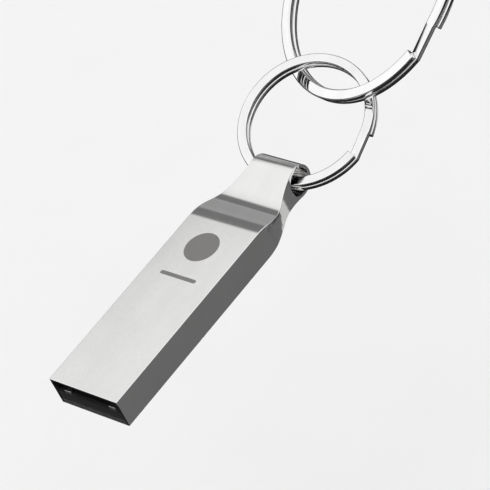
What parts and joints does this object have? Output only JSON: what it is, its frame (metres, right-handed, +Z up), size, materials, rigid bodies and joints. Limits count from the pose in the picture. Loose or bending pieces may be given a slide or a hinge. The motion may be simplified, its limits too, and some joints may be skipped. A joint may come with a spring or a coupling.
{
  "type": "usb flash drive",
  "caption": "Slim metal USB flash drive with a Type-A plug at one end, a waisted loop at the other and linked split key rings.",
  "frame": {"origin": "centre of the plug's open mouth, at mid thickness", "axes": "+X along the drive from the plug's mouth to the loop, +Y across it, +Z up through its thickness"},
  "size_m": [0.0819, 0.0323, 0.0232],
  "materials": {
    "shell_metal": "satin nickel plate on die-cast zinc",
    "tray_plastic": "moulded black plastic",
    "tape": "double-sided tape",
    "substrate": "black solder mask on laminate",
    "mould_compound": "epoxy moulding compound",
    "gold_plate": "gold plate on copper",
    "die_film": "die attach film",
    "silicon": "polished silicon",
    "ceramic_tan": "fired ceramic",
    "ceramic_black": "resistor glaze",
    "ring_plate": "nickel-plated spring steel"
  },
  "bodies": {
    "drive": {"capacitor_a": "ceramic_tan", "capacitor_b": "ceramic_tan", "capacitor_c": "ceramic_tan", "contact_data_minus": "gold_plate", "contact_data_plus": "gold_plate", "contact_ground": "gold_plate", "contact_supply": "gold_plate", "controller_die": "silicon", "controller_film": "die_film", "memory_lower_die": "silicon", "memory_lower_film": "die_film", "memory_upper_die": "silicon", "memory_upper_film": "die_film", "moulded_cap": "mould_compound", "resistor_a": "ceramic_black", "resistor_b": "ceramic_black", "resistor_c": "ceramic_black", "shell": "shell_metal", "substrate": "substrate", "tray": "tray_plastic", "tray_tape": "tape"},
    "small_ring": {"small_split_ring": "ring_plate"},
    "large_ring": {"large_split_ring": "ring_plate"}
  },
  "joints": [
    {"name": "small_ring_swing", "type": "hinge", "parent": "drive", "child": "small_ring", "pos_m": [0.04145, 0, 0.0001], "axis": [0, -1, 0], "range_deg": [-155, 110]},
    {"name": "large_ring_turn", "type": "hinge", "parent": "small_ring", "child": "large_ring", "pos_m": [0.06722, -0.00153, 0.01158], "axis": [0.855, -0.0767, 0.5129], "range_deg": [-138, 0]}
  ]
}
